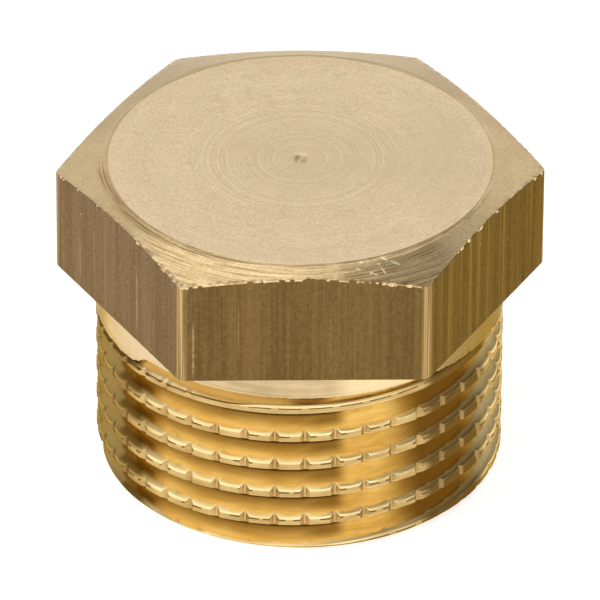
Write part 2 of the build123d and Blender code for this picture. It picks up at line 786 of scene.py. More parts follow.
@dataclass
class EndFace:
    """The turned face at the threaded end, which the plug stands on."""

    columns: int = 96
    ring_radii: tuple[float, ...] = (0.4, 2.0, 4.0, 6.0, 7.2)

    def build(self, skin: Skin, rim: Array) -> None:
        """Closes the threaded end.

        Args:
            skin: The skin to add to.
            rim: Indices of the loop where the thread meets the end face.
        """
        angle = np.arange(self.columns) * tau / self.columns - pi
        loops = [ring_points(angle, radius, 0.0) for radius in self.ring_radii]
        indices = skin.rings(loops, Finish.FACED_END)
        skin.fan(indices[0], np.zeros(3), False, Finish.FACED_END)
        skin.zip_loops(indices[-1], rim, Finish.FACED_END)


@dataclass
class Neck:
    """The plain collar between the thread and the head."""

    radius: float
    seat_height: float
    edge_round: float = 0.03
    edge_middle: float = 0.3
    edge_wear: float = 0.012
    rows: int = 4

    def build(self, skin: Skin, thread: Thread, thread_loop: Array) -> Array:
        """Adds the collar to the skin.

        Args:
            skin: The skin to add to.
            thread: The thread below, which gives the collar's lower edge.
            thread_loop: Indices of the loop at the top of the thread, in rising angle.

        Returns:
            Indices of the loop where the collar meets the head.
        """
        points = np.concatenate(skin.points)[thread_loop]
        angle = point_angle(points)
        edge = thread.neck_edge(angle)
        wear = self.edge_wear * np.clip(Ripple(seed=8, slowest=20, fastest=160).at(angle), 0.0, None)
        outer = self.radius - wear
        middle = self.edge_middle * self.edge_round
        loops = [
            ring_points(angle, outer - self.edge_round, edge),
            ring_points(angle, outer - middle, edge + middle),
            ring_points(angle, outer, edge + self.edge_round),
        ]
        first = edge + self.edge_round
        for row in range(1, self.rows + 1):
            share = row / self.rows
            radius = outer + (self.radius - outer) * share
            loops.append(ring_points(angle, radius, first + (self.seat_height - first) * share))
        indices = skin.rings(loops, Finish.TURNED_NECK)
        # The slope under the collar gets the painted shade finish
        skin.band(thread_loop, indices[0], Finish.OILED_EDGE)
        return indices[-1]


@dataclass
class HexHead:
    """The hexagon head, with a cone turned on its top and a faced end."""

    seat_height: float
    top_height: float
    half_flats: float
    corner_radius: float = 0.4
    face_radius: float = 7.725
    cone_angle: float = radians(16.0)
    edge_break: float = 0.05
    flat_columns: int = 150
    corner_columns: int = 10
    flat_rows: int = 4
    cone_rows: int = 7
    edge_middle: float = 0.3
    die_lines: float = 0.006
    seat_burr: float = 0.01
    edge_ragged: float = 0.008
    # Chips too small to place one by one: how many, half width, depth, and the share of dark ones
    small_chips: int = 150
    chip_halves: Span = (0.05, 0.14)
    chip_depths: Span = (0.03, 0.11)
    dark_share: float = 0.65
    # How much of a chip colours its column, and where its two loops lie as shares of its depth
    chip_seen: float = 0.15
    chip_out: float = 0.15
    chip_in: float = 0.45
    chip_down: float = 0.3
    # Chips and smears on the edge under the cone: flat, place across it, half width, depth, dark or not
    chips: tuple[tuple[int, float, float, float, bool], ...] = (
        (0, 0.25, 0.24, 0.2, True),
        (0, 0.62, 0.26, 0.13, True),
        (0, 1.91, 0.22, 0.13, False),
        (0, 3.12, 0.1, 0.09, False),
        (0, 3.45, 0.2, 0.13, False),
        (0, 4.12, 0.13, 0.1, False),
    )
    face_columns: int = 210
    face_rings: int = 16
    face_inset: float = 0.2
    # Radius beyond the face's rim and height below the top, across the step between face and cone
    rim_steps: tuple[Span, ...] = (
        (0.06, 0.0172),
        (0.035, 0.026),
        (0.012, 0.024),
        (-0.012, 0.005),
        (-0.05, 0.0),
    )
    # Radius and height below the top, across the pip that the facing tool has left in the middle
    pip_steps: tuple[Span, ...] = ((0.34, 0.0), (0.24, 0.03), (0.15, 0.09), (0.08, 0.075))
    pip_tip: float = 0.01

    def outline(self) -> tuple[Array, Array]:
        """The rounded hexagon, as angles and radii of the mesh columns.

        Returns:
            Angles from the front and radii, in rising angle from just left of the back.
        """
        straight = (self.half_flats - self.corner_radius) * tan(pi / HEX_SIDES)
        along = np.linspace(-straight, straight, self.flat_columns + 1)
        flat = np.stack([along, np.full_like(along, self.half_flats)], axis=-1)
        bend = np.arange(1, self.corner_columns) / self.corner_columns * tau / HEX_SIDES
        centre = np.array([straight, self.half_flats - self.corner_radius])
        corner = centre + self.corner_radius * np.stack([np.sin(bend), np.cos(bend)], axis=-1)
        side = np.concatenate([flat, corner])
        angle = np.arctan2(side[:, 0], side[:, 1])
        radius = np.hypot(side[:, 0], side[:, 1])
        turns = (np.arange(HEX_SIDES) - HEX_SIDES // 2) * tau / HEX_SIDES
        return (turns[:, None] + angle[None, :]).ravel(), np.tile(radius, HEX_SIDES)

    def edge_chips(self, angle: Array) -> tuple[Array, Array]:
        """How far the edge under the cone is broken off.

        Args:
            angle: Angles of the columns.

        Returns:
            The depth of the break at each column, and which columns lie in a dark chip.
        """
        sector = tau / HEX_SIDES
        flat = np.round(angle / sector)
        across = self.half_flats * np.tan(angle - flat * sector)
        rng = np.random.default_rng(61)
        chips = list(self.chips)
        reach = self.half_flats * tan(sector / 2)
        for _ in range(self.small_chips):
            place = (int(rng.integers(-2, 4)), float(rng.uniform(-reach, reach)))
            size = (float(rng.uniform(*self.chip_halves)), float(rng.uniform(*self.chip_depths)))
            chips.append((*place, *size, bool(rng.random() < self.dark_share)))
        depth = np.full_like(angle, self.edge_break)
        dark = np.mod(flat, HEX_SIDES) != 0
        for side, middle, half, deep, is_dark in chips:
            on_flat = np.mod(flat - side, HEX_SIDES) == 0
            share = on_flat * np.clip(1.0 - (np.abs(across - middle) / half) ** 4, 0.0, 1.0)
            depth = np.maximum(depth, deep * share)
            dark = np.where(share > self.chip_seen, is_dark, dark)
        return depth, dark

    def cone_height(self, radius: Array) -> Array:
        """Height of the cone at each radius."""
        return self.top_height - (radius - self.face_radius) * tan(self.cone_angle)

    def build(self, skin: Skin, neck_loop: Array) -> None:
        """Adds the head to the skin and closes its top.

        Args:
            skin: The skin to add to.
            neck_loop: Indices of the loop where the neck meets the head.
        """
        angle, reach = self.outline()
        rim = self.build_sides(skin, neck_loop, angle, reach)
        self.build_top(skin, rim, angle, reach)

    def build_sides(self, skin: Skin, neck_loop: Array, angle: Array, reach: Array) -> Array:
        """Adds the underside and the flats.

        Args:
            skin: The skin to add to.
            neck_loop: Indices of the loop where the neck meets the head.
            angle: Angles of the columns.
            reach: Radii of the hexagon at the columns.

        Returns:
            Indices of the loop at the top of the flats.
        """
        lines = np.clip(Ripple(seed=21, slowest=60, fastest=300).at(angle), 0.0, None)
        drawn = reach - self.die_lines * lines
        burr = self.seat_burr * np.abs(Ripple(seed=23, slowest=40, fastest=310).at(angle))
        small = self.edge_break / 2
        between = self.edge_middle * small
        first = self.seat_height + small + burr
        edge = self.cone_height(reach) - self.edge_chips(angle)[0]
        loops = [
            ring_points(angle, reach - small, self.seat_height),
            ring_points(angle, drawn - between, self.seat_height + between + burr),
            ring_points(angle, drawn, first),
        ]
        for row in range(1, self.flat_rows + 1):
            share = row / self.flat_rows
            loops.append(ring_points(angle, drawn, first + (edge - first) * share))
        indices = skin.rings(loops, Finish.DRAWN_FLAT)
        skin.zip_loops(neck_loop, indices[0], Finish.TURNED_SEAT)
        return indices[-1]

    def build_top(self, skin: Skin, rim: Array, angle: Array, reach: Array) -> None:
        """Adds the cone, the step inside it, the face and the pip in its middle.

        Args:
            skin: The skin to add to.
            rim: Indices of the loop at the top of the flats.
            angle: Angles of the columns.
            reach: Radii of the hexagon at the columns.
        """
        ragged = Ripple(seed=31, slowest=60, fastest=310).at(angle)
        chip, dark = self.edge_chips(angle)
        edge = self.cone_height(reach)
        broken = reach - self.chip_in * chip
        under = edge - self.chip_down * chip + self.edge_ragged * ragged
        loops = [
            ring_points(angle, reach - self.chip_out * chip, under),
            ring_points(angle, broken, self.cone_height(broken)),
        ]
        inner = self.face_radius + self.rim_steps[0][0]
        for row in range(1, self.cone_rows):
            share = row / self.cone_rows
            radius = broken * (1 - share) + inner * share
            loops.append(ring_points(angle, radius, self.cone_height(radius)))
        for out, drop in self.rim_steps:
            loops.append(ring_points(angle, self.face_radius + out, self.top_height - drop))
        indices = skin.add_points(np.stack(loops))
        for before, after in zip(indices[1:-1], indices[2:]):
            skin.band(before, after, Finish.TURNED_CONE)
        for lower, upper in ((rim, indices[0]), (indices[0], indices[1])):
            corners = np.stack([lower, np.roll(lower, -1), np.roll(upper, -1), upper], axis=-1)
            skin.add_faces(corners[dark], Finish.DRAWN_FLAT)
            skin.add_faces(corners[~dark], Finish.TURNED_CONE)
        face_angle = np.arange(self.face_columns) * tau / self.face_columns - pi
        outer = self.face_radius - self.face_inset
        pip_radius = self.pip_steps[0][0]
        faces = []
        for row in range(self.face_rings):
            share = row / self.face_rings
            faces.append(ring_points(face_angle, outer + (pip_radius - outer) * share, self.top_height))
        for radius, drop in self.pip_steps:
            faces.append(ring_points(face_angle, radius, self.top_height - drop))
        face_indices = skin.rings(faces, Finish.FACED_TOP)
        skin.zip_loops(indices[-1], face_indices[0], Finish.FACED_TOP)
        centre = np.array([0.0, 0.0, self.top_height - self.pip_tip])
        skin.fan(face_indices[-1], centre, True, Finish.FACED_TOP)


class Shader:
    """A node tree in the making, one node a call."""

    def __init__(self, tree: bpy.types.NodeTree) -> None:
        """Starts from an empty tree."""
        self.tree = tree
        self.tree.nodes.clear()

    def node(self, kind: str, inputs: dict[Any, Any] | None = None, **settings: Any) -> bpy.types.Node:
        """Adds a node.

        Args:
            kind: The node's Blender type.
            inputs: Values or sockets by the input's name or number.
            settings: The node's own properties.

        Returns:
            The node.
        """
        node = self.tree.nodes.new(kind)
        for name, value in settings.items():
            setattr(node, name, value)
        for key, value in (inputs or {}).items():
            if isinstance(value, bpy.types.NodeSocket):
                self.tree.links.new(value, node.inputs[key])
            else:
                node.inputs[key].default_value = value
        return node

    def math(self, operation: str, first: Any, second: Any = 0.0, third: Any = 0.0) -> Socket:
        """Adds a Math node.

        Args:
            operation: The node's operation.
            first: First value or socket.
            second: Second value or socket.
            third: Third value or socket.

        Returns:
            The result.
        """
        inputs = {0: first, 1: second, 2: third}
        return self.node("ShaderNodeMath", inputs, operation=operation).outputs[0]

    def product(self, first: Any, *others: Any) -> Socket:
        """Multiplies two or more values.

        Args:
            first: First value or socket.
            others: The other values or sockets.

        Returns:
            The product.
        """
        result = first
        for other in others:
            result = self.math("MULTIPLY", result, other)
        return result

    def blend(self, first: Any, share: float, second: Any) -> Socket:
        """Adds a share of one value to the rest of another."""
        return self.math("MULTIPLY_ADD", first, share, self.product(second, 1.0 - share))

    def ease(self, value: Any, low: float, high: float, start: float = 0.0, end: float = 1.0) -> Socket:
        """Maps a range of values smoothly to another.

        Args:
            value: The value or socket.
            low: Where the result is start.
            high: Where the result is end.
            start: The result at low.
            end: The result at high.

        Returns:
            The mapped value.
        """
        inputs = {"Value": value, 1: low, 2: high, 3: start, 4: end}
        node = self.node("ShaderNodeMapRange", inputs, interpolation_type="SMOOTHSTEP")
        return node.outputs["Result"]

    def vector(self, x: Any, y: Any, z: Any) -> Socket:
        """Puts three values together as a vector."""
        return self.node("ShaderNodeCombineXYZ", {"X": x, "Y": y, "Z": z}).outputs[0]

    def noise(self, vector: Socket, scale: float, detail: float = 2.0, roughness: float = 0.5) -> Socket:
        """Adds a noise texture.

        Args:
            vector: Where to read it.
            scale: Its features for each unit.
            detail: Its finer layers.
            roughness: How strong the finer layers are.

        Returns:
            The noise, about 0.5.
        """
        inputs = {"Vector": vector, "Scale": scale, "Detail": detail, "Roughness": roughness}
        return self.node("ShaderNodeTexNoise", inputs).outputs[0]

    def mix(self, share: Any, first: Any, second: Any) -> Socket:
        """Mixes two colours.

        Args:
            share: How much of the second colour.
            first: First colour or socket.
            second: Second colour or socket.

        Returns:
            The mixed colour.
        """
        colours = [(*value, 1.0) if isinstance(value, tuple) else value for value in (first, second)]
        inputs = {0: share, 6: colours[0], 7: colours[1]}
        return self.node("ShaderNodeMix", inputs, data_type="RGBA").outputs[2]

    def axis_distance(self, x: Any, y: Any) -> Socket:
        """Distance of a point from the plug's axis."""
        return self.math("SQRT", self.math("MULTIPLY_ADD", x, x, self.product(y, y)))

    def front_angle(self, x: Any, y: Any) -> Socket:
        """Angle of a point from the front, towards +X."""
        return self.math("ARCTAN2", x, self.product(y, -1.0))

    def place(self) -> tuple[Socket, Socket, Socket, Socket]:
        """The surface point in millimetres in the plug's own frame.

        Returns:
            The point, and its x, y and z.
        """
        coordinates = self.node("ShaderNodeTexCoord").outputs["Object"]
        scaled = self.node("ShaderNodeVectorMath", {0: coordinates, "Scale": 1.0 / MM}, operation="SCALE")
        parts = self.node("ShaderNodeSeparateXYZ", {0: scaled.outputs[0]}).outputs
        return scaled.outputs[0], parts[0], parts[1], parts[2]

    def turned(self, x: Socket, y: Socket, turn: float) -> tuple[Socket, Socket]:
        """A point in axes that are turned about the plug's axis.

        Args:
            x: The point's x.
            y: The point's y.
            turn: How far the axes are turned, from +X towards +Y.

        Returns:
            The point's place along the first and the second turned axis.
        """
        along = self.math("MULTIPLY_ADD", x, cos(turn), self.product(y, sin(turn)))
        across = self.math("MULTIPLY_ADD", y, cos(turn), self.product(x, -sin(turn)))
        return along, across

    def bump(self, height: Any, depth: float) -> Socket:
        """Bends the shading normal by a height.

        Args:
            height: The height, from 0 to 1.
            depth: How deep that range is, in millimetres.

        Returns:
            The normal.
        """
        inputs = {"Height": height, "Distance": depth * MM, "Strength": 1.0}
        return self.node("ShaderNodeBump", inputs).outputs[0]

    def metal(self, **inputs: Any) -> None:
        """Ends the tree with a metal surface.

        Args:
            inputs: Values or sockets of the metal, with underscores for spaces.
        """
        named = {name.replace("_", " "): value for name, value in inputs.items()}
        surface = self.node("ShaderNodeBsdfPrincipled", {"Metallic": 1.0, **named})
        self.node("ShaderNodeOutputMaterial", {"Surface": surface.outputs[0]})


def new_material(name: str) -> tuple[bpy.types.Material, Shader]:
    """Starts a material.

    Args:
        name: The material's name.

    Returns:
        The material and its empty node tree.
    """
    material = bpy.data.materials.new(name)
    material.use_nodes = True
    return material, Shader(material.node_tree)


@dataclass(frozen=True)
class TintPatch:
    """Where a tint lies: between two angles in degrees, and from its foot radius out to its reach.

    It fades out over soft and soft_end degrees beyond those angles, and over fade inside its reach.
    """

    start: float
    end: float
    reach: float
    share: float
    soft: float = 5.0
    soft_end: float = 5.0
    fade: float = 0.35
    foot: float = 0.0


@dataclass(frozen=True)
class Tint:
    """Another colour in patches by angle and radius: mostly painted shade, dark reflections and painted
    highlights.
    """

    colour: Colour
    patches: tuple[TintPatch, ...]
    foot_fade: float = 0.08
    lines: float = 0.0

    def share(self, shader: Shader, angle: Socket, radius: Socket) -> Socket:
        """How much of the tint there is.

        Args:
            shader: The tree to add to.
            angle: The point's angle from the front.
            radius: The point's distance from the axis in millimetres.

        Returns:
            The tint's share, from 0 to 1.
        """
        amount = shader.product(radius, 0.0)
        for patch in self.patches:
            begun = shader.ease(angle, radians(patch.start - patch.soft), radians(patch.start))
            gone, end = radians(patch.end + patch.soft_end), radians(patch.end)
            ended = shader.ease(angle, gone, end, 0.0, patch.share)
            deep = shader.ease(radius, patch.reach, patch.reach - patch.fade)
            inside = shader.product(begun, ended, deep)
            if patch.foot:
                outside = shader.ease(radius, patch.foot, patch.foot + self.foot_fade)
                inside = shader.product(inside, outside)
            amount = shader.math("MAXIMUM", amount, inside)
        return amount


@dataclass(frozen=True)
class Mark:
    """A short bright nick seen from above: its place, its direction in degrees and its half sizes."""

    x: float
    y: float
    turn: float
    length: float
    width: float
    outer: float = 1.3
    inner: float = 0.5

    def share(self, shader: Shader, x: Socket, y: Socket) -> Socket:
        """How much of the mark there is.

        Args:
            shader: The tree to add to.
            x: The point's x in millimetres.
            y: The point's y in millimetres.

        Returns:
            The mark's share, from 0 to 1.
        """
        right = shader.math("SUBTRACT", x, self.x)
        back = shader.math("SUBTRACT", y, self.y)
        along, across = shader.turned(right, back, radians(self.turn))
        along = shader.math("DIVIDE", along, self.length)
        across = shader.math("DIVIDE", across, self.width)
        away = shader.math("MULTIPLY_ADD", along, along, shader.product(across, across))
        return shader.ease(away, self.outer, self.inner)


@dataclass(frozen=True)
class TurnedFinish:
    """Brass that a turning tool has left fine lines on."""

    name: str
    dark: Colour
    light: Colour
    roughness: float
    axis: LineAxis
    lines: float
    turns: float
    line_depth: float
    patch: float = 0.15
    patch_scale: float = 0.6
    speck: float = 0.3
    speck_scale: float = 5.0
    uneven_gloss: float = 0.1
    edge_tint: Colour = (1.0, 1.0, 1.0)
    grain: float = 0.0
    grain_scale: float = 7.0
    rings: float = 0.0
    # Radius where the middle rings are gone and where they are full, then where they start and are full
    rings_outside: Span = (4.6, 2.8)
    rings_inside: Span = (0.2, 1.5)
    rings_per_mm: float = 8.0
    scuffs: tuple[Span, ...] = ()
    stain: float = 0.0
    marks: tuple[Mark, ...] = ()
    mark_colour: Colour = (1.0, 0.85, 0.53)
    tints: tuple[Tint, ...] = ()
    # The ranges of noise over which tones, specks, stains, streaks, scuffs and rings come in
    tone_range: Span = (0.3, 0.7)
    speck_range: Span = (0.73, 0.78)
    stain_range: Span = (0.6, 0.72)
    streak_range: Span = (0.38, 0.56)
    scuff_range: Span = (0.64, 0.74)
    ring_range: Span = (0.38, 0.58)
    # Features for each millimetre along a scuff and across it
    scuff_scales: Span = (1.5, 10.0)
    stain_scale: float = 1.1
    fine_share: float = 0.4
    fine_scale: float = 3.7
    speck_depth: float = 0.8

    def material(self) -> bpy.types.Material:
        """Makes the finish's material.

        Returns:
            The material.
        """
        material, shader = new_material(self.name)
        place, x, y, z = shader.place()
        radius = shader.axis_distance(x, y)
        lines = self.tool_lines(shader, x, y, radius, radius if self.axis is LineAxis.RADIUS else z)
        tone = self.tone(shader, lines, place, radius)
        tone = self.scuffed(shader, tone, x, y)
        share = shader.ease(tone, *self.tone_range)
        speck = shader.noise(place, self.speck_scale, 1.0, 0.4)
        dent = shader.ease(speck, *self.speck_range, 0.0, self.speck)
        colour = shader.mix(dent, shader.mix(share, self.dark, self.light), self.dark)
        if self.stain:
            stain = shader.noise(place, self.stain_scale, 3.0, 0.6)
            stained = shader.ease(stain, *self.stain_range, 0.0, self.stain)
            colour = shader.mix(stained, colour, self.dark)
        angle = shader.front_angle(x, y)
        # The tints paint shade, dark reflections and highlights in patches
        for tint in self.tints:
            amount = tint.share(shader, angle, radius)
            if tint.lines:
                streak = shader.ease(lines, *self.streak_range, 1.0 + tint.lines, 1.0 - tint.lines)
                amount = shader.math("MINIMUM", shader.product(amount, streak), 1.0)
            colour = shader.mix(amount, colour, tint.colour)
        for mark in self.marks:
            colour = shader.mix(mark.share(shader, x, y), colour, self.mark_colour)
        low = self.roughness * (1.0 + self.uneven_gloss)
        high = self.roughness * (1.0 - self.uneven_gloss)
        height = shader.math("SUBTRACT", lines, shader.product(dent, self.speck_depth))
        shader.metal(
            Base_Color=colour,
            Roughness=shader.ease(lines, *self.tone_range, low, high),
            Normal=shader.bump(height, self.line_depth),
            Specular_Tint=(*self.edge_tint, 1.0),
        )
        return material

    def tool_lines(self, shader: Shader, x: Socket, y: Socket, radius: Socket, spacing: Socket) -> Socket:
        """The lines of the turning tool, which run round the axis.

        Args:
            shader: The tree to add to.
            x: The point's x in millimetres.
            y: The point's y in millimetres.
            radius: The point's distance from the axis.
            spacing: What the lines are spaced along.

        Returns:
            Coarse and fine lines together, about 0.5.
        """
        safe = shader.math("MAXIMUM", radius, 0.05)
        around = [shader.product(shader.math("DIVIDE", value, safe), self.turns) for value in (x, y)]
        tool = shader.vector(*around, shader.product(spacing, self.lines))
        coarse = shader.noise(tool, 1.0, 3.0, 0.65)
        fine = shader.noise(tool, self.fine_scale, 2.0, 0.6)
        return shader.blend(fine, self.fine_share, coarse)

    def tone(self, shader: Shader, lines: Socket, place: Socket, radius: Socket) -> Socket:
        """How light the metal is, from its lines, grain, patches and middle rings.

        Args:
            shader: The tree to add to.
            lines: The tool lines.
            place: The point in millimetres.
            radius: The point's distance from the axis.

        Returns:
            The tone, about 0.5.
        """
        tone = lines
        patch = shader.noise(place, self.patch_scale, 2.0, 0.5)
        if self.grain:
            tone = shader.blend(shader.noise(place, self.grain_scale, 3.0, 0.6), self.grain, lines)
        tone = shader.math("MULTIPLY_ADD", shader.math("SUBTRACT", patch, 0.5), self.patch * 4.0, tone)
        if self.rings:
            across = shader.vector(0.0, 0.0, shader.product(radius, self.rings_per_mm))
            ring = shader.noise(across, 1.0, 2.0, 0.6)
            near = shader.product(
                shader.ease(radius, *self.rings_outside),
                shader.ease(radius, *self.rings_inside, 0.4, 1.0),
                shader.ease(patch, *self.ring_range, 0.2 * self.rings, self.rings),
            )
            tone = shader.math("MULTIPLY_ADD", shader.math("SUBTRACT", ring, 0.5), near, tone)
        return tone

    def scuffed(self, shader: Shader, tone: Socket, x: Socket, y: Socket) -> Socket:
        """Adds short straight scuffs, each lot with its direction in degrees and its strength.

        Args:
            shader: The tree to add to.
            tone: How light the metal is.
            x: The point's x in millimetres.
            y: The point's y in millimetres.

        Returns:
            The tone with the scuffs.
        """
        for turn, strength in self.scuffs:
            axes = zip(shader.turned(x, y, radians(turn)), self.scuff_scales)
            stretched = [shader.product(value, scale) for value, scale in axes]
            stroke = shader.noise(shader.vector(*stretched, turn), 1.0, 1.0, 0.4)
            tone = shader.math("ADD", tone, shader.ease(stroke, *self.scuff_range, 0.0, strength))
        return tone


@dataclass(frozen=True)
class Scratch:
    """A light line along the bar: its flat, its place across it and its two heights."""

    flat: int
    across: float
    low: float
    high: float
    width: float
    share: float
    rise: float = 0.4
    fall: float = 0.9


@dataclass(frozen=True)
class DrawnFinish:
    """Dull hexagon bar, with lines that the drawing die has left along it and bright worn corners."""

    name: str
    dark: Colour
    middle: Colour
    gold: Colour
    worn: Colour
    roughness: float
    line_depth: float
    scratches: tuple[Scratch, ...]
    edge_tint: Colour = (0.78, 0.66, 0.45)
    # Painted light and shade: the left flats lighter and greyer, the right and back flats darker
    left_flat_light: Colour = (1.22, 1.33, 2.5)
    right_flat_shade: Colour = (0.87, 0.84, 0.78)
    worn_right: Colour = (0.52, 0.325, 0.12)
    # Distance from a flat's middle where its worn corner begins and where it is full
    corner: Span = (4.56, 4.78)
    # Between the numbers of neighbouring flats, where the colour changes from one to the other
    flat_change: Span = (0.4, 0.6)
    # Keeps the textures of neighbouring flats apart
    flat_offset: float = 31.0
    # Features for each millimetre across the bar and along it
    broad_lines: Span = (1.3, 0.05)
    fine_lines: Span = (9.0, 0.16)
    gold_lines: Span = (4.2, 0.05)
    pit_lines: Span = (6.0, 1.1)
    ridge_lines: Span = (14.0, 0.1)
    # The ranges of noise over which tones, gold lines, pits, flecks and ridges come in
    tone_range: Span = (0.34, 0.66)
    gold_range: Span = (0.52, 0.68)
    pit_range: Span = (0.66, 0.74)
    fleck_range: Span = (0.7, 0.76)
    ridge_range: Span = (0.42, 0.6)
    gloss_range: Span = (0.3, 0.7)
    # How strong the gold lines are on the left and front flats, and then the pits, flecks and ridges
    gold_least: float = 0.18
    pit_share: float = 0.55
    fleck_share: float = 0.6
    ridge_least: float = 0.25
    uneven_gloss: float = 0.1

    def material(self) -> bpy.types.Material:
        """Makes the finish's material.

        Returns:
            The material.
        """
        material, shader = new_material(self.name)
        place, x, y, z = shader.place()
        flat, across = self.flat_and_across(shader, x, y)
        shifted = shader.math("MULTIPLY_ADD", flat, self.flat_offset, across)

        def drawn(lines: float, along: float) -> Socket:
            """Where to read a texture that is drawn out along the bar."""
            return shader.vector(shader.product(shifted, lines), flat, shader.product(z, along))

        broad = shader.noise(drawn(*self.broad_lines), 1.0, 1.0, 0.5)
        line = shader.noise(drawn(*self.fine_lines), 1.0, 3.0, 0.6)
        stripe = shader.noise(drawn(*self.gold_lines), 1.0, 2.0, 0.5)
        grain = shader.noise(place, 7.0, 3.0, 0.6)
        tone = shader.math("MULTIPLY_ADD", broad, 0.25, shader.product(line, 0.35))
        tone = shader.math("MULTIPLY_ADD", grain, 0.4, tone)
        colour = shader.mix(shader.ease(tone, *self.tone_range), self.dark, self.middle)
        right = shader.ease(flat, 0.4, 0.9, self.gold_least, 1.0)
        gilt = shader.product(shader.ease(stripe, *self.gold_range), right)
        colour = shader.mix(gilt, colour, self.gold)
        pits = shader.noise(drawn(*self.pit_lines), 1.0, 2.0, 0.6)
        pitted = shader.ease(pits, *self.pit_range, 0.0, self.pit_share)
        colour = shader.mix(pitted, colour, self.dark)
        flecks = shader.noise(place, 5.3, 2.0, 0.55)
        flecked = shader.ease(flecks, *self.fleck_range, 0.0, self.fleck_share)
        colour = shader.mix(flecked, colour, self.worn)
        # Painted light and shade, flat by flat
        casts = []
        near, far = self.flat_change
        for left_share, right_share in zip(self.left_flat_light, self.right_flat_shade):
            left = shader.ease(flat, -near, -far, 1.0, left_share)
            casts.append(shader.product(left, shader.ease(flat, near, far, 1.0, right_share)))
        inputs = {0: colour, 1: shader.vector(*casts)}
        colour = shader.node("ShaderNodeVectorMath", inputs, operation="MULTIPLY").outputs[0]
        for scratch in self.scratches:
            colour = shader.mix(self.scratch_share(shader, scratch, flat, across, z), colour, self.worn)
        side = shader.math("ABSOLUTE", across)
        wear = shader.ease(side, *self.corner)
        ridge = shader.noise(drawn(*self.ridge_lines), 1.0, 1.0, 0.5)
        ridge = shader.ease(ridge, *self.ridge_range, self.ridge_least, 1.0)
        worn = shader.mix(shader.ease(across, -1.0, 1.0), self.worn, self.worn_right)
        colour = shader.mix(shader.product(wear, ridge), colour, worn)
        low = self.roughness * (1.0 + self.uneven_gloss)
        high = self.roughness * (1.0 - self.uneven_gloss)
        height = shader.blend(line, 0.6, grain)
        shader.metal(
            Base_Color=colour,
            Roughness=shader.ease(tone, *self.gloss_range, low, high),
            Normal=shader.bump(height, self.line_depth),
            Specular_Tint=(*self.edge_tint, 1.0),
        )
        return material

    def flat_and_across(self, shader: Shader, x: Socket, y: Socket) -> tuple[Socket, Socket]:
        """Which flat the point is on, counted from the front, and its place across that flat.

        Args:
            shader: The tree to add to.
            x: The point's x in millimetres.
            y: The point's y in millimetres.

        Returns:
            The flat's number, from -2 to 3, and the distance from its middle in millimetres.
        """
        sector = tau / HEX_SIDES
        angle = shader.front_angle(x, y)
        flat = shader.math("ROUND", shader.math("DIVIDE", angle, sector))
        local = shader.math("SUBTRACT", angle, shader.product(flat, sector))
        last = HEX_SIDES / 2 + 0.5
        flat = shader.math("WRAP", flat, last, last - HEX_SIDES)
        return flat, shader.product(shader.axis_distance(x, y), shader.math("SINE", local))

    def scratch_share(
        self, shader: Shader, scratch: Scratch, flat: Socket, across: Socket, z: Socket
    ) -> Socket:
        """How much of the scratch's colour there is.

        Args:
            shader: The tree to add to.
            scratch: The scratch.
            flat: The point's flat.
            across: The point's place across its flat in millimetres.
            z: The point's height in millimetres.

        Returns:
            The share, from 0 to 1.
        """
        on_flat = shader.math("COMPARE", flat, float(scratch.flat), 0.4)
        away = shader.math("ABSOLUTE", shader.math("SUBTRACT", across, scratch.across))
        line = shader.ease(away, scratch.width, 0.4 * scratch.width, 0.0, scratch.share)
        rise = shader.ease(z, scratch.low, scratch.low + scratch.rise)
        fall = shader.ease(z, scratch.high, scratch.high - scratch.fall)
        broken = shader.noise(shader.vector(flat, scratch.across, z), 6.0, 2.0, 0.6)
        broken = shader.ease(broken, 0.36, 0.6, 0.35, 1.0)
        return shader.product(on_flat, line, broken, rise, fall)


@dataclass
class Plug:
    """The whole plug, as one closed piece that stands for its CAD node."""

    sizes: PlugSizes
    finishes: dict[Finish, TurnedFinish | DrawnFinish]
    name: str = "brass_plug"
    neck_proud: float = 0.03

    def build(self) -> bpy.types.Object:
        """Builds the skin, dresses it and rides it on the frame.

        Returns:
            The plug's object.
        """
        sizes = self.sizes
        skin = Skin()
        thread = Thread(sizes.crest_radius, sizes.seat_height)
        end_loop, thread_loop = thread.build(skin)
        EndFace().build(skin, end_loop)
        neck = Neck(sizes.crest_radius + self.neck_proud, sizes.seat_height)
        neck_loop = neck.build(skin, thread, thread_loop)
        HexHead(sizes.seat_height, sizes.top_height, sizes.half_flats).build(skin, neck_loop)
        piece = skin.to_object(self.name, [self.finishes[finish].material() for finish in Finish])
        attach(piece, "root")
        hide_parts(NODE)
        LOG.info("%s: %d points, %d faces", piece.name, skin.count, len(skin.faces))
        return piece


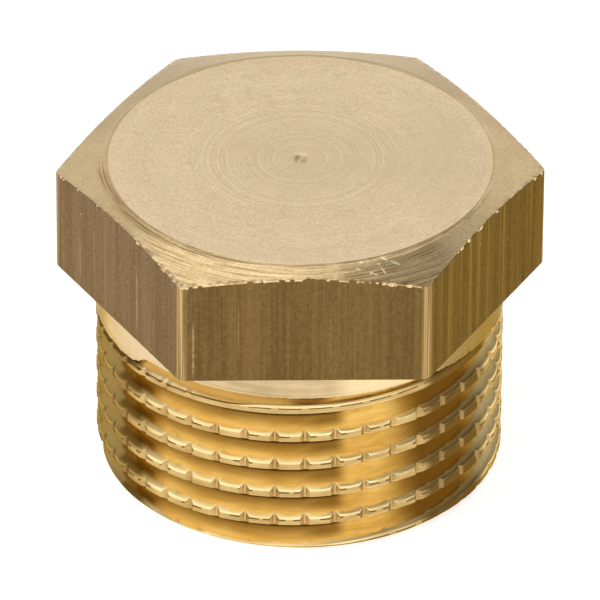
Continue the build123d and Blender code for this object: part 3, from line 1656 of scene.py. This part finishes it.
def plug_finishes() -> dict[Finish, TurnedFinish | DrawnFinish]:
    """The finish of each part of the plug.

    Returns:
        The finishes, by where they go.
    """
    thread_edge = (0.75, 0.58, 0.32)
    hidden_dark, hidden_light = (0.7, 0.53, 0.3), (0.86, 0.68, 0.41)
    # Painted dark reflections: the flanks darker on the right, the left and the back
    side_shade_patches = (
        TintPatch(40.0, 57.0, 9.0, 0.95, soft=17.0, soft_end=12.0),
        TintPatch(98.0, 118.0, 9.0, 0.8, soft=10.0, soft_end=10.0),
        TintPatch(-128.0, -105.0, 9.0, 0.85, soft=10.0, soft_end=8.0),
        TintPatch(160.0, 181.0, 9.0, 0.5, soft=12.0),
        TintPatch(-181.0, -160.0, 9.0, 0.5, soft_end=12.0),
    )
    # Painted shade: darker towards the roots from the left to the front, and in a patch just right of the
    # front
    root_shade_patches = (
        TintPatch(-50.0, 7.5, 8.02, 0.7, soft_end=6.0, fade=0.66),
        TintPatch(6.0, 9.5, 8.1, 0.7, soft=14.0, fade=0.5),
    )
    flank_shade = Tint((0.35, 0.225, 0.07), side_shade_patches + root_shade_patches)
    # Painted shade: the flanks and the crests darker on the left
    flank_left_shade = Tint((0.4, 0.25, 0.072), (TintPatch(-98.0, -53.0, 9.0, 0.9, soft=8.0, soft_end=7.0),))
    crest_left_shade = Tint((0.29, 0.185, 0.062), (TintPatch(-98.0, -60.0, 9.0, 0.9, soft=8.0, soft_end=7.0),))
    # Painted shade: dark pockets on the flanks on the left
    left_pocket_patch = TintPatch(-63.0, -54.5, 8.3, 0.92, soft=2.5, soft_end=2.5, foot=7.72)
    left_pocket_shade = Tint((0.2, 0.105, 0.018), (left_pocket_patch,), foot_fade=0.15)
    # Painted shade: the nicks darker on the left
    nick_shade = Tint((0.17, 0.09, 0.018), (TintPatch(-88.0, -57.0, 8.13, 0.9, fade=0.08),))
    # Painted reflection: amber on the upper part of each crest's rounding, from the left to the front
    # right
    amber_reflection_patch = TintPatch(-58.0, 36.0, 8.14, 0.4, soft_end=8.0, fade=0.06, foot=7.9)
    amber_reflection = Tint((0.88, 0.63, 0.25), (amber_reflection_patch,))
    # Painted shadow: a dark line deep in the roots under the crests, from the left to the front
    root_shadow = Tint((0.12, 0.07, 0.02), (TintPatch(-52.0, 8.0, 7.46, 0.85, soft_end=7.0, fade=0.1),))
    # Painted dark reflections: the crests and their rounding darker on the right and the back right
    crest_shade_patches = (
        TintPatch(40.0, 60.0, 9.0, 0.95, foot=8.08),
        TintPatch(40.0, 60.0, 9.0, 0.45, foot=7.97),
        TintPatch(96.0, 120.0, 9.0, 0.6, foot=8.08),
    )
    crest_shade = Tint((0.15, 0.08, 0.018), crest_shade_patches)
    # Painted shade and dark reflections on the cone, in streaks: its front right, a band left of the
    # front, and along its rim step
    cone_shade = Tint(
        (0.34, 0.205, 0.074),
        (
            TintPatch(13.0, 36.0, 11.0, 0.68, soft=7.0, soft_end=9.0),
            TintPatch(-80.0, -22.0, 8.25, 0.85, soft=14.0, soft_end=14.0, fade=0.35, foot=7.68),
            TintPatch(-46.0, 4.0, 10.0, 0.4, soft=8.0, soft_end=8.0),
            TintPatch(20.0, 62.0, 7.95, 0.85, soft=8.0, soft_end=14.0, fade=0.12, foot=7.7),
            TintPatch(-181.0, 181.0, 7.86, 0.25, fade=0.1, foot=7.68),
        ),
        lines=0.9,
    )
    # Painted shade: the cone darker on its sides, most of all at the back
    cone_side_shade = Tint(
        (0.5, 0.36, 0.18),
        (
            TintPatch(64.0, 181.0, 11.0, 0.32, soft=14.0),
            TintPatch(-181.0, -58.0, 11.0, 0.44, soft_end=20.0),
            TintPatch(140.0, 181.0, 11.0, 0.66, soft=40.0),
            TintPatch(-181.0, -140.0, 11.0, 0.66, soft_end=40.0),
        ),
    )
    # Painted shade: the shaded-edge finish darkest beyond a radius of 8.1 mm
    burr_line_shade = Tint((0.16, 0.1, 0.035), (TintPatch(-181.0, 181.0, 9.0, 1.0, foot=8.1),), foot_fade=0.04)
    # Painted highlight on the neck at the front right
    neck_highlight = Tint((0.93, 0.74, 0.42), (TintPatch(15.0, 34.0, 9.0, 0.75, soft=9.0, soft_end=9.0),))
    # Painted light: the neck paler on the front left
    neck_left_light = Tint((0.84, 0.67, 0.44), (TintPatch(-72.0, -38.0, 9.0, 0.6, soft=8.0, soft_end=10.0),))
    # The top darker towards the middle, on the pip away from the front, and towards the right
    top_darkening = Tint(
        (0.7, 0.53, 0.32),
        (
            TintPatch(-181.0, 181.0, 5.0, 0.4, fade=4.0),
            TintPatch(60.0, 181.0, 0.3, 0.9, fade=0.1, foot=0.06),
            TintPatch(-181.0, -60.0, 0.3, 0.9, fade=0.1, foot=0.06),
            TintPatch(70.0, 110.0, 8.0, 0.35, soft=30.0, soft_end=30.0, fade=2.0),
        ),
    )
    # Painted highlight on the end's lower edge, just left of the front
    bottom_edge_highlight = Tint((0.97, 0.8, 0.5), (TintPatch(-17.0, -5.0, 8.15, 0.9, foot=8.0),))
    # Painted light: the slot under the neck lighter on the right, the front left and the back left
    slot_light = Tint(
        (0.9, 0.69, 0.34),
        (
            TintPatch(10.0, 181.0, 8.02, 0.9, soft=5.0, fade=0.05),
            TintPatch(-52.0, -8.0, 8.19, 0.7, soft=3.0, soft_end=9.0, fade=0.05),
            TintPatch(-181.0, -95.0, 8.02, 0.6, soft_end=9.0, fade=0.05),
        ),
    )
    # Painted shade: the slot under the neck darker on the left
    slot_left_shade = Tint((0.13, 0.08, 0.02), (TintPatch(-82.0, -56.0, 9.0, 0.8, soft=6.0, soft_end=4.0),))
    # Painted shade: the neck darker on the right and on the left
    neck_side_shade = Tint(
        (0.3, 0.2, 0.07),
        (TintPatch(44.0, 85.0, 9.0, 0.85, soft=9.0), TintPatch(-95.0, -76.0, 9.0, 0.5, soft_end=9.0)),
    )
    cone_marks = (
        Mark(3.15, -7.23, -32.0, 0.2, 0.06),
        Mark(3.6, -7.4, -20.0, 0.22, 0.07),
        Mark(2.93, -7.53, 0.0, 0.09, 0.06),
        Mark(3.13, -7.86, -60.0, 0.2, 0.05),
        Mark(2.65, -8.01, 20.0, 0.09, 0.05),
        Mark(2.81, -8.07, -30.0, 0.08, 0.05),
        Mark(2.25, -7.5, 10.0, 0.1, 0.05),
        Mark(2.13, -7.87, -15.0, 0.12, 0.04),
    )
    return {
        Finish.FACED_TOP: TurnedFinish(
            "faced_brass_top", dark=(0.735, 0.56, 0.333), light=(0.92, 0.725, 0.46), roughness=0.34,
            axis=LineAxis.RADIUS, lines=2.0, turns=0.8, line_depth=0.0004,
            patch=0.05, speck=0.9, speck_scale=3.4, grain=0.7, grain_scale=9.0, rings=2.2, stain=0.7,
            scuffs=((20.0, -0.3), (75.0, 0.2), (130.0, -0.25), (-10.0, 0.2)), tints=(top_darkening,),
        ),
        Finish.TURNED_CONE: TurnedFinish(
            "turned_brass_cone", dark=(0.72, 0.53, 0.28), light=(0.92, 0.705, 0.4), roughness=0.27,
            axis=LineAxis.RADIUS, lines=16.0, turns=2.2, line_depth=0.0012,
            grain=0.85, marks=cone_marks, tints=(cone_side_shade, cone_shade),
        ),
        Finish.DRAWN_FLAT: DrawnFinish(
            "drawn_brass_flat",
            dark=(0.13, 0.075, 0.023),
            middle=(0.21, 0.128, 0.043),
            gold=(0.29, 0.18, 0.05),
            worn=(0.56, 0.39, 0.175),
            roughness=0.42,
            line_depth=0.003,
            scratches=(
                Scratch(0, -4.36, 8.4, 11.4, 0.06, 0.55),
                Scratch(0, -2.58, 9.4, 12.2, 0.05, 0.2),
                Scratch(0, 1.05, 8.4, 12.3, 0.06, 0.12),
                Scratch(-1, 1.6, 8.9, 12.0, 0.06, 0.6),
                Scratch(-1, -2.9, 8.9, 11.0, 0.05, 0.5),
                Scratch(2, 1.1, 9.0, 11.6, 0.06, 0.6),
                Scratch(-2, -0.7, 8.8, 11.2, 0.06, 0.6),
            ),
        ),
        Finish.TURNED_SEAT: TurnedFinish(
            "turned_brass_seat", dark=hidden_dark, light=hidden_light, roughness=0.3,
            axis=LineAxis.RADIUS, lines=8.0, turns=1.2, line_depth=0.002,
        ),
        Finish.TURNED_NECK: TurnedFinish(
            "turned_brass_neck", dark=(0.46, 0.34, 0.175), light=(0.69, 0.52, 0.285), roughness=0.26,
            axis=LineAxis.HEIGHT, lines=12.0, turns=1.6, line_depth=0.003,
            tints=(neck_highlight, neck_left_light, neck_side_shade), edge_tint=thread_edge,
        ),
        Finish.CUT_FLANK: TurnedFinish(
            "cut_brass_flank", dark=(0.745, 0.54, 0.225), light=(0.905, 0.71, 0.36), roughness=0.17,
            axis=LineAxis.HEIGHT, lines=9.0, turns=3.0, line_depth=0.0015,
            tints=(amber_reflection, flank_left_shade, flank_shade, root_shadow, left_pocket_shade, crest_shade), edge_tint=thread_edge,
        ),
        Finish.ROLLED_CREST: TurnedFinish(
            "rolled_brass_crest", dark=(0.5, 0.335, 0.125), light=(0.67, 0.465, 0.19), roughness=0.45,
            axis=LineAxis.HEIGHT, lines=10.0, turns=6.0, line_depth=0.002,
            tints=(crest_left_shade, nick_shade, crest_shade), edge_tint=thread_edge,
        ),
        Finish.FACED_END: TurnedFinish(
            "faced_brass_end", dark=hidden_dark, light=hidden_light, roughness=0.32,
            axis=LineAxis.RADIUS, lines=6.0, turns=1.2, line_depth=0.002,
        ),
        # Painted shade: darker brass for the shaded places, with painted light from some of its tints
        Finish.OILED_EDGE: TurnedFinish(
            "oiled_brass_edge", dark=(0.34, 0.22, 0.08), light=(0.58, 0.4, 0.16), roughness=0.3,
            axis=LineAxis.HEIGHT, lines=9.0, turns=5.0, line_depth=0.002,
            tints=(slot_light, slot_left_shade, burr_line_shade, crest_shade, bottom_edge_highlight), edge_tint=thread_edge,
        ),
    }


@dataclass(frozen=True)
class Softbox:
    """A square soft lamp that faces the plug. Its distance and side are metres."""

    name: str
    azimuth: float
    elevation: float
    distance: float
    side: float
    radiance: float

    def build(self) -> bpy.types.Object:
        """Places the lamp.

        Returns:
            The lamp's object.
        """
        lamp = bpy.data.lights.new(self.name, "AREA")
        lamp.size = self.side
        lamp.energy = self.radiance * pi * self.side**2
        holder = add_object(self.name, lamp)
        out = direction(self.azimuth, self.elevation)
        holder.location = out * self.distance
        holder.rotation_euler = out.to_track_quat("Z", "Y").to_euler()
        holder.visible_camera = False
        return holder


@dataclass(frozen=True)
class Floor:
    """A round white floor just under the plug, which keeps its shadow and is clear from below.

    Its radius and its drop below the plug are metres.
    """

    radius: float = 3.0
    segments: int = 96
    drop: float = 0.00002
    colour: Colour = (0.8, 0.8, 0.8)
    glow: float = 0.58

    def build(self) -> bpy.types.Object:
        """Lays the floor.

        Returns:
            The floor's object.
        """
        mesh = bpy.data.meshes.new("floor")
        disc = bmesh.new()
        bmesh.ops.create_circle(disc, cap_ends=True, segments=self.segments, radius=self.radius)
        disc.to_mesh(mesh)
        disc.free()
        mesh.materials.append(self.material())
        floor = add_object("floor", mesh)
        floor.location.z = -self.drop
        return floor

    def material(self) -> bpy.types.Material:
        """Makes white paper, with a glow that cameras, mirrors and glass see.

        Returns:
            The material.
        """
        material, shader = new_material("white_floor")
        paths = shader.node("ShaderNodeLightPath").outputs
        seen = shader.math("ADD", paths["Is Camera Ray"], paths["Is Glossy Ray"])
        seen = shader.math("ADD", seen, paths["Is Transmission Ray"])
        inputs = {"Color": WHITE, "Strength": shader.product(seen, self.glow)}
        glow = shader.node("ShaderNodeEmission", inputs)
        paper = shader.node("ShaderNodeBsdfDiffuse", {"Color": (*self.colour, 1.0)})
        both = shader.node("ShaderNodeAddShader", {0: glow.outputs[0], 1: paper.outputs[0]})
        clear = shader.node("ShaderNodeBsdfTransparent")
        below = shader.node("ShaderNodeNewGeometry").outputs["Backfacing"]
        sheet = shader.node("ShaderNodeMixShader", {0: below, 1: both.outputs[0], 2: clear.outputs[0]})
        shader.node("ShaderNodeOutputMaterial", {"Surface": sheet.outputs[0]})
        return material


@dataclass(frozen=True)
class Room:
    """The room that the metal mirrors: white at the horizon, paler left, darker right and above.

    Each place is a span between two azimuths, or between two shares of a direction's way to the
    right, to the back or up. A level of 1 is white.
    """

    horizon_up: Span = (-0.02, 0.16)
    # The left wall is dimmer behind the plug
    left_azimuth: Span = (radians(-125.0), radians(-100.0))
    left_back: Span = (0.75, 0.5)
    left_level: float = -0.3
    # The right wall darkens, then ends in a lighter strip
    right_wall: Span = (0.36, 0.7)
    right_levels: Span = (0.85, 0.3)
    right_strip: Span = (0.7, 0.82)
    strip_level: float = 0.55
    # A dark panel hangs high on the right
    panel_left: Span = (0.03, 0.2)
    panel_right: Span = (0.5, 0.38)
    panel_up: Span = (0.5, 0.72)
    panel_back: Span = (0.7, 0.6)
    panel_dark: float = 0.64
    # The ceiling is dimmer towards the back, and so is the low wall there
    ceiling_up: Span = (0.8, 1.0)
    ceiling_back: Span = (0.12, 0.35)
    ceiling_level: float = 0.5
    low_wall_back: Span = (0.4, 0.7)
    low_wall_up: Span = (0.4, 0.15)
    low_wall_level: float = 0.72
    # The front is lit between two azimuths, more so low down
    front_left: Span = (radians(-115.0), radians(-85.0))
    front_right: Span = (radians(76.0), radians(56.0))
    front_up: Span = (1.0, 0.2)
    front_levels: Span = (0.15, 0.6)

    def build(self) -> bpy.types.World:
        """Sets the room as the scene's world.

        Returns:
            The world.
        """
        world = bpy.data.worlds.new("studio_room")
        world.use_nodes = True
        shader = Shader(world.node_tree)
        toward = shader.node("ShaderNodeTexCoord").outputs["Generated"]
        right, back, up = shader.node("ShaderNodeSeparateXYZ", {0: toward}).outputs
        azimuth = shader.front_angle(right, back)
        left_wall = shader.product(
            shader.ease(azimuth, *self.left_azimuth, self.left_level, 0.0),
            shader.ease(back, *self.left_back),
        )
        right_wall = shader.math(
            "ADD",
            shader.ease(right, *self.right_wall, *self.right_levels),
            shader.ease(right, *self.right_strip, 0.0, self.strip_level),
        )
        walls = shader.math("ADD", left_wall, right_wall)
        panel = shader.product(
            shader.ease(right, *self.panel_left),
            shader.ease(up, *self.panel_up),
            shader.ease(back, *self.panel_back),
            shader.ease(right, *self.panel_right),
            self.panel_dark,
        )
        ceiling = shader.product(
            shader.ease(up, *self.ceiling_up),
            shader.ease(back, *self.ceiling_back),
        )
        low_wall = shader.product(
            shader.ease(back, *self.low_wall_back),
            shader.ease(up, *self.low_wall_up),
        )
        dimmed = shader.product(
            shader.ease(ceiling, 0.0, 1.0, 1.0, self.ceiling_level),
            shader.math("SUBTRACT", 1.0, panel),
            shader.ease(low_wall, 0.0, 1.0, 1.0, self.low_wall_level),
        )
        front = shader.product(
            shader.ease(azimuth, *self.front_left),
            shader.ease(azimuth, *self.front_right),
            shader.ease(up, *self.front_up, *self.front_levels),
        )
        room = shader.math("MULTIPLY_ADD", walls, dimmed, front)
        change = shader.product(shader.ease(up, *self.horizon_up), shader.math("SUBTRACT", room, 1.0))
        inputs = {"Color": WHITE, "Strength": shader.math("ADD", change, 1.0)}
        background = shader.node("ShaderNodeBackground", inputs)
        shader.node("ShaderNodeOutputWorld", {"Surface": background.outputs[0]})
        bpy.context.scene.world = world
        return world


@dataclass(frozen=True)
class Studio:
    """A white floor, a soft lamp and the room around them."""

    floor: Floor = Floor()
    key: Softbox = Softbox(
        "key_softbox",
        azimuth=radians(-169.0),
        elevation=radians(62.0),
        distance=0.9,
        side=0.36,
        radiance=0.9,
    )
    room: Room = Room()

    def build(self) -> None:
        """Builds the floor, the lamp and the room."""
        for item in (self.floor, self.key, self.room):
            LOG.info("studio %s", item.build().name)


@dataclass(frozen=True)
class PhotoCamera:
    """The camera at the photograph's viewing angle. Its clip distances are metres."""

    target_height: float
    elevation: float = radians(33.49)
    azimuth: float = radians(-1.204)
    roll: float = radians(-0.342)
    distance: float = 399.3
    shift_right: float = 0.0147
    shift_up: float = -1.513
    lens: float = 596.5
    sensor: float = 36.0
    clip: Span = (0.01, 5.0)

    def build(self) -> bpy.types.Object:
        """Places the camera and makes it the scene's own.

        Returns:
            The camera's object.
        """
        right = Vector((cos(self.azimuth), sin(self.azimuth), 0.0))
        back = direction(self.azimuth, self.elevation)
        up = back.cross(right)
        place = Vector((0.0, 0.0, self.target_height))
        place += right * self.shift_right + up * self.shift_up + back * self.distance
        turned_right = right * cos(self.roll) - up * sin(self.roll)
        turned_up = right * sin(self.roll) + up * cos(self.roll)
        axes = Matrix((turned_right, turned_up, back)).transposed().to_4x4()
        data = bpy.data.cameras.new("photo_camera")
        data.sensor_width = self.sensor
        data.lens = self.lens
        data.clip_start, data.clip_end = self.clip
        camera = add_object("photo_camera", data)
        camera.matrix_world = Matrix.Translation(place * MM) @ axes
        bpy.context.scene.camera = camera
        return camera


def main() -> None:
    """Builds the plug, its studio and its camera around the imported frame."""
    logging.basicConfig(level=logging.INFO, format="%(name)s: %(message)s")
    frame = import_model()
    sizes = PlugSizes.from_frame(frame)
    LOG.info("sizes %s", sizes)
    camera = PhotoCamera(sizes.seat_height).build()
    LOG.info("camera %s", camera.name)
    Plug(sizes, plug_finishes()).build()
    Studio().build()
    bpy.context.scene.view_settings.view_transform = "Standard"


if __name__ == "__main__":
    main()
